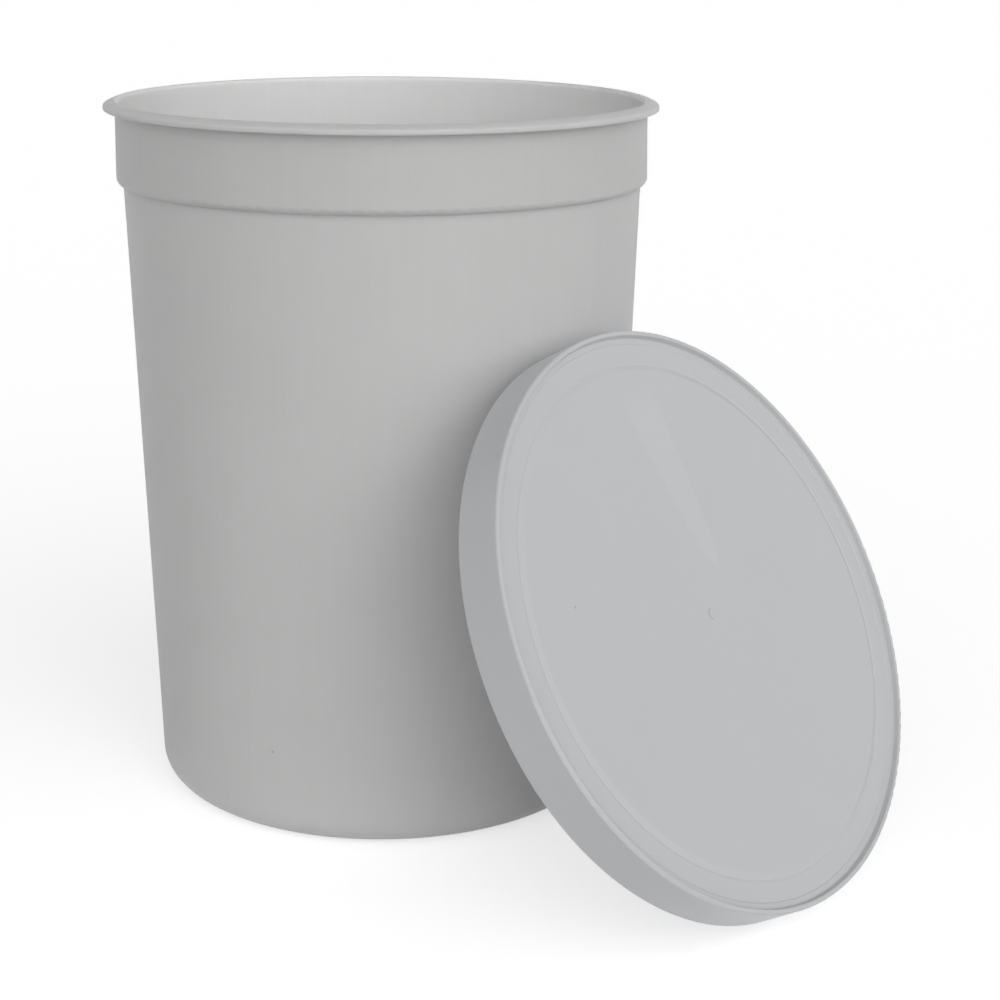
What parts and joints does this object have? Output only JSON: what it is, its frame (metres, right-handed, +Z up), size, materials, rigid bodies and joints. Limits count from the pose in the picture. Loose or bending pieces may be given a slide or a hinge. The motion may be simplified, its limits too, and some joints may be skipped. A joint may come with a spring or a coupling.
{
  "type": "plastic food container",
  "caption": "Round white plastic food tub with a flanged rim and stepped collar, open and empty, and its press-on lid taken off and leaning against it.",
  "frame": {"origin": "on the floor under the tub's axis, at the middle of its foot ring", "axes": "+Z up along the tub's axis; +X towards the leaning lid, which leans back in the XZ plane with its outer face turned to +X; +Y to the lid's side"},
  "size_m": [0.265, 0.1851, 0.2215],
  "materials": {
    "tub_plastic": "white polyethylene moulding with a soft satin surface, slightly cloudy where it is thick",
    "lid_plastic": "white polyethylene moulding, a little cooler than the tub, satin with a faint flow mark from the gate"
  },
  "bodies": {
    "root": {"tub": "tub_plastic", "lid": "lid_plastic"}
  },
  "joints": []
}
